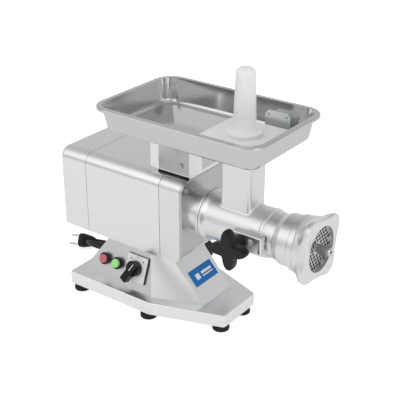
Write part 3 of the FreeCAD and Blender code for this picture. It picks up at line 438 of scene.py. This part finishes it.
def screw_recipe():
    """Pan-head screws around a rectangle that faces up."""
    r = Recipe("screws_round_a_panel", Count="Int", Length="Float", Width="Float", Head="Float", **PLACING)
    outline = r.node("GeometryNodeCurvePrimitiveQuadrilateral", {},
                     {"Width": r["Length"], "Height": r["Width"]})
    places = r.node("GeometryNodeCurveToPoints", {"mode": "COUNT"}, {"Curve": outline, "Count": r["Count"]})
    rise = r.node("ShaderNodeMath", {"operation": "MULTIPLY"}, {0: r["Head"], 1: 0.5})
    crown = r.node("ShaderNodeMath", {"operation": "MULTIPLY"}, {0: r["Head"], 1: 0.62})
    head = r.node("GeometryNodeMeshCone", {},
                  {"Vertices": 24, "Radius Top": crown, "Radius Bottom": r["Head"], "Depth": rise})
    screws = r.node("GeometryNodeInstanceOnPoints", {}, {"Points": places, "Instance": head})
    return r.close(screws)


def louvre_recipe():
    """Grid of pressed hoods, one over each vent slot."""
    r = Recipe("grid_of_louvres", Columns="Int", Rows="Int", Column="Float", Row="Float", Length="Float",
               Radius="Float", **PLACING)

    def span(count, pitch):
        gaps = r.node("ShaderNodeMath", {"operation": "SUBTRACT"}, {0: count, 1: 1.0})
        return r.node("ShaderNodeMath", {"operation": "MULTIPLY"}, {0: gaps, 1: pitch})

    grid = r.node("GeometryNodeMeshGrid", {},
                  {"Size X": span(r["Columns"], r["Column"]), "Size Y": span(r["Rows"], r["Row"]),
                   "Vertices X": r["Columns"], "Vertices Y": r["Rows"]})
    hood = r.node("GeometryNodeMeshCylinder", {"fill_type": "NGON"},
                  {"Vertices": 24, "Radius": r["Radius"], "Depth": r["Length"]})
    hoods = r.node("GeometryNodeInstanceOnPoints", {},
                   {"Points": grid, "Instance": hood, "Rotation": (0.0, math.pi / 2, 0.0)})
    return r.close(hoods)


def mark_recipe():
    """Small round marks on an arc, as round a dial."""
    r = Recipe("dial_marks", Count="Int", Radius="Float", Sweep="Float", Mark="Float", **PLACING)
    half = r.node("ShaderNodeMath", {"operation": "MULTIPLY"}, {0: r["Sweep"], 1: -0.5})
    start = r.node("ShaderNodeMath", {"operation": "ADD"}, {0: half, 1: math.pi / 2})
    arc = r.node("GeometryNodeCurveArc", {},
                 {"Radius": r["Radius"], "Start Angle": start, "Sweep Angle": r["Sweep"], "Resolution": 32})
    places = r.node("GeometryNodeCurveToPoints", {"mode": "COUNT"}, {"Curve": arc, "Count": r["Count"]})
    mark = r.node("GeometryNodeMeshCylinder", {"fill_type": "NGON"},
                  {"Vertices": 20, "Radius": r["Mark"], "Depth": 0.0003})
    marks = r.node("GeometryNodeInstanceOnPoints", {}, {"Points": places, "Instance": mark})
    return r.close(marks)


PANEL_FOOT = Vector((0.0, -0.0727, 0.0383))
PANEL_UP = Vector((0.0, 26.0, 67.7)).normalized()
PANEL_OUT = Vector((0.0, -67.7, 26.0)).normalized()
PANEL_LEAN = math.atan2(PANEL_UP.z, PANEL_UP.y)
SWITCH_X, SWITCH_UP, SWITCH_TURN = -0.082, 0.0395, math.radians(-28.0)
SLOPE_UP = Vector((-62.4, 0.0, 67.7)).normalized()
SLOPE_OUT = Vector((67.7, 0.0, 62.4)).normalized()
PLUG_AXIS = Vector((0.92, 0.39, 0.0)).normalized()
PLUG_TURN = (0.0, 0.0, math.atan2(PLUG_AXIS.y, PLUG_AXIS.x))
RELIEF_BACK, GRIP_BACK = 0.021, 0.041  # from the cord's end back to the first rib
GLAND_RIBS_X = -0.2065
COVER_CENTRE_X = -0.115
LOUVRE_Y, LOUVRE_Z = 0.026, 0.1812
DIAL_OUT, HANDLE_OUT, INDEX_UP = 0.00505, 0.0215, 0.0035


def on_panel(x, up, out):
    return PANEL_FOOT + Vector((x, 0.0, 0.0)) + PANEL_UP * up + PANEL_OUT * out


def make_fittings():
    ribs, screws = rib_recipe(), screw_recipe()
    ribs.make("gland_ribs", "base", "black_plastic", Count=5, Spacing=-0.0034, Radius=0.0060, Taper=0.05,
              Thickness=0.0007, Place=(GLAND_RIBS_X, LEAD[0][1], LEAD[0][2]), Turn=(0.0, 0.0, 0.0),
              Finish=black_plastic)
    cord_end = Vector(TAIL[-1])
    ribs.make("plug_relief_ribs", "base", "black_plastic", Count=6, Spacing=0.0034, Radius=0.0056,
              Taper=0.032, Thickness=0.0007, Place=cord_end - PLUG_AXIS * RELIEF_BACK, Turn=PLUG_TURN,
              Finish=black_plastic)
    ribs.make("plug_grip_ribs", "base", "black_plastic", Count=4, Spacing=0.0028, Radius=0.0122,
              Taper=0.045, Thickness=0.0009, Place=cord_end - PLUG_AXIS * GRIP_BACK, Turn=PLUG_TURN,
              Finish=black_plastic)
    cover_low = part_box("bottom_cover")[0]
    screws.make("cover_screws", "base", "screw_steel", Count=10, Length=0.180, Width=0.100, Head=0.0038,
                Place=(COVER_CENTRE_X, 0.0, cover_low.z + 0.0003), Turn=(math.pi, 0.0, 0.0), Finish=zinc)
    cap_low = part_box("rear_cap")[0]
    louvre_recipe().make("rear_louvres", "base", "stainless_sheet", Columns=2, Rows=6, Column=0.050,
                         Row=0.014, Length=0.040, Radius=0.0022, Place=(cap_low.x, LOUVRE_Y, LOUVRE_Z),
                         Turn=(math.pi / 2, 0.0, math.pi / 2), Finish=sheet_along_x)
    mark_recipe().make("switch_marks", "base", "black_plastic", Count=3, Radius=0.0205,
                       Sweep=math.radians(84), Mark=0.0013, Place=on_panel(SWITCH_X, SWITCH_UP, DIAL_OUT),
                       Turn=(PANEL_LEAN, 0.0, 0.0), Finish=dial_ink)


make_fittings()


# ----------------------------------------------------------------- printed-on details
def raised_shape(name, corners, outward, height, body, finish):
    """Thin slab with the given outline."""
    shape = bmesh.new()
    low = [shape.verts.new(Vector(c)) for c in corners]
    face = shape.faces.new(low)
    if face.normal.dot(outward) > 0:
        face.normal_flip()
    lifted = bmesh.ops.extrude_face_region(shape, geom=[face])["geom"]
    top = [v for v in lifted if isinstance(v, bmesh.types.BMVert)]
    bmesh.ops.translate(shape, vec=outward * height, verts=top)
    bmesh.ops.recalc_face_normals(shape, faces=shape.faces[:])
    mesh = bpy.data.meshes.new(name)
    shape.to_mesh(mesh)
    shape.free()
    mesh.materials.append(finish)
    return place_piece(name, mesh, body)


def rectangle(centre, along, up, half_along, half_up):
    return [centre + along * (sx * half_along) + up * (su * half_up)
            for sx, su in ((-1, -1), (1, -1), (1, 1), (-1, 1))]


ACROSS = Vector((0.0, 1.0, 0.0))
PLAQUE_FOOT, PLAQUE_FACE, INK_HEIGHT = Vector((0.0484, 0.0, 0.0383)), 0.00105, 0.0002
# across and up the plaque to each bar's centre, then half its length and half its height
PLAQUE_BARS = [(0.010, 0.0485, 0.014, 0.0022), (0.010, 0.0425, 0.014, 0.0011),
               (-0.015, 0.0462, 0.0052, 0.0052)]


def make_markings():
    for i, (y, up, half_y, half_up) in enumerate(PLAQUE_BARS):
        centre = PLAQUE_FOOT + SLOPE_UP * up + ACROSS * y + SLOPE_OUT * PLAQUE_FACE
        raised_shape("plaque_bar_%d" % i, rectangle(centre, ACROSS, SLOPE_UP, half_y, half_up), SLOPE_OUT,
                     INK_HEIGHT, "base", dial_white)
    swing = Matrix.Rotation(SWITCH_TURN, 3, PANEL_OUT)
    along, up = swing @ Vector((1.0, 0.0, 0.0)), swing @ PANEL_UP
    centre = on_panel(SWITCH_X, SWITCH_UP, HANDLE_OUT) + up * INDEX_UP
    raised_shape("switch_index", rectangle(centre, along, up, 0.0007, 0.0075), PANEL_OUT, INK_HEIGHT,
                 "switch_knob", dial_white)


make_markings()


# ------------------------------------------------------------- floor, light and camera
def plane(name, centre, size_x, size_y):
    mesh = bpy.data.meshes.new(name)
    corners = [(-1, -1), (1, -1), (1, 1), (-1, 1)]
    mesh.from_pydata([(centre[0] + sx * size_x / 2, centre[1] + sy * size_y / 2, centre[2])
                      for sx, sy in corners], [], [(0, 1, 2, 3)])
    made = bpy.data.objects.new(name, mesh)
    scene.collection.objects.link(made)
    return made


def studio_floor():
    """Paper floor that burns out to white, as a lit sweep does, but lights the machine softly."""
    g = Graph("studio_floor")
    seen = g.node("ShaderNodeLightPath")
    return g.finish(colour=(0.88, 0.88, 0.88), roughness=0.9, specular=0.0, glow=(1.0, 1.0, 1.0),
                    glow_strength=seen * 0.45 + 0.26)


FLOOR_Z, FLOOR_SIZE = -0.0002, 30.0
floor = plane("studio_floor", (0.0, 0.0, FLOOR_Z), FLOOR_SIZE, FLOOR_SIZE)
floor.data.materials.append(studio_floor())


def soft_box(name, place, target, width, height, power):
    light = bpy.data.lights.new(name, "AREA")
    light.shape, light.size, light.size_y, light.energy = "RECTANGLE", width, height, power
    made = bpy.data.objects.new(name, light)
    made.location = place
    made.rotation_euler = (Vector(target) - Vector(place)).to_track_quat("-Z", "Y").to_euler()
    scene.collection.objects.link(made)


LIT_POINT = (0.0, 0.0, 0.2)
soft_box("key_box", (-0.9, -1.8, 1.9), LIT_POINT, width=2.6, height=2.0, power=10.0)
soft_box("fill_box", (1.9, -0.7, 0.9), LIT_POINT, width=0.9, height=1.3, power=5.0)


# (height, brightness): 0 looks straight down, 0.5 along the horizon, 1 straight up
ROOM_BRIGHTNESS = [(0.0, 0.85), (0.49, 0.85), (0.50, 0.05), (0.53, 0.12), (0.56, 0.78), (0.60, 0.95),
                   (0.72, 0.68), (1.0, 0.60)]
BACKDROP_BRIGHTNESS = [(0.0, 0.85), (0.5, 0.85), (0.60, 0.82), (0.70, 0.58), (0.85, 0.54), (1.0, 0.60)]
BEHIND_X, BEHIND_Y = -0.593, 0.805  # level direction towards the backdrop


def studio_world():
    """Pale backdrop behind the machine, and a dim room with a darker horizon on its other sides."""
    g = Graph("studio", bpy.data.worlds, "Background")
    direction = g.node("ShaderNodeTexCoord")
    x, y, z = [g.node("ShaderNodeSeparateXYZ", {}, [direction], output=i) for i in range(3)]
    height = z * 0.5 + 0.5
    behind = g.node("ShaderNodeMapRange", {"clamp": True},
                    {"Value": y * BEHIND_Y + x * BEHIND_X, "From Min": 0.05, "From Max": 0.55})

    def grey_ramp(stops):
        return g.node("ShaderNodeValToRGB", {"stops": [(place, (v, v, v)) for place, v in stops]}, [height])

    room = grey_ramp(ROOM_BRIGHTNESS)
    backdrop = grey_ramp(BACKDROP_BRIGHTNESS)
    g.put(g.shader.inputs["Color"], g.mix(behind, room, backdrop))
    scene.world = g.owner


studio_world()

CAMERA_TARGET = Vector((0.011, 0.0, 0.212))
CAMERA_AZIMUTH, CAMERA_ELEVATION, CAMERA_DISTANCE = math.radians(36.4), math.radians(25.95), 1.5068


def place_camera():
    data = bpy.data.cameras.new("camera")
    data.sensor_width, data.lens = 36.0, 80.92
    camera = bpy.data.objects.new("camera", data)
    back = Vector((math.sin(CAMERA_AZIMUTH) * math.cos(CAMERA_ELEVATION),
                   -math.cos(CAMERA_AZIMUTH) * math.cos(CAMERA_ELEVATION), math.sin(CAMERA_ELEVATION)))
    camera.location = CAMERA_TARGET + back * CAMERA_DISTANCE
    camera.rotation_euler = back.to_track_quat("Z", "Y").to_euler()
    scene.collection.objects.link(camera)
    scene.camera = camera


place_camera()
scene.view_settings.view_transform = "Standard"
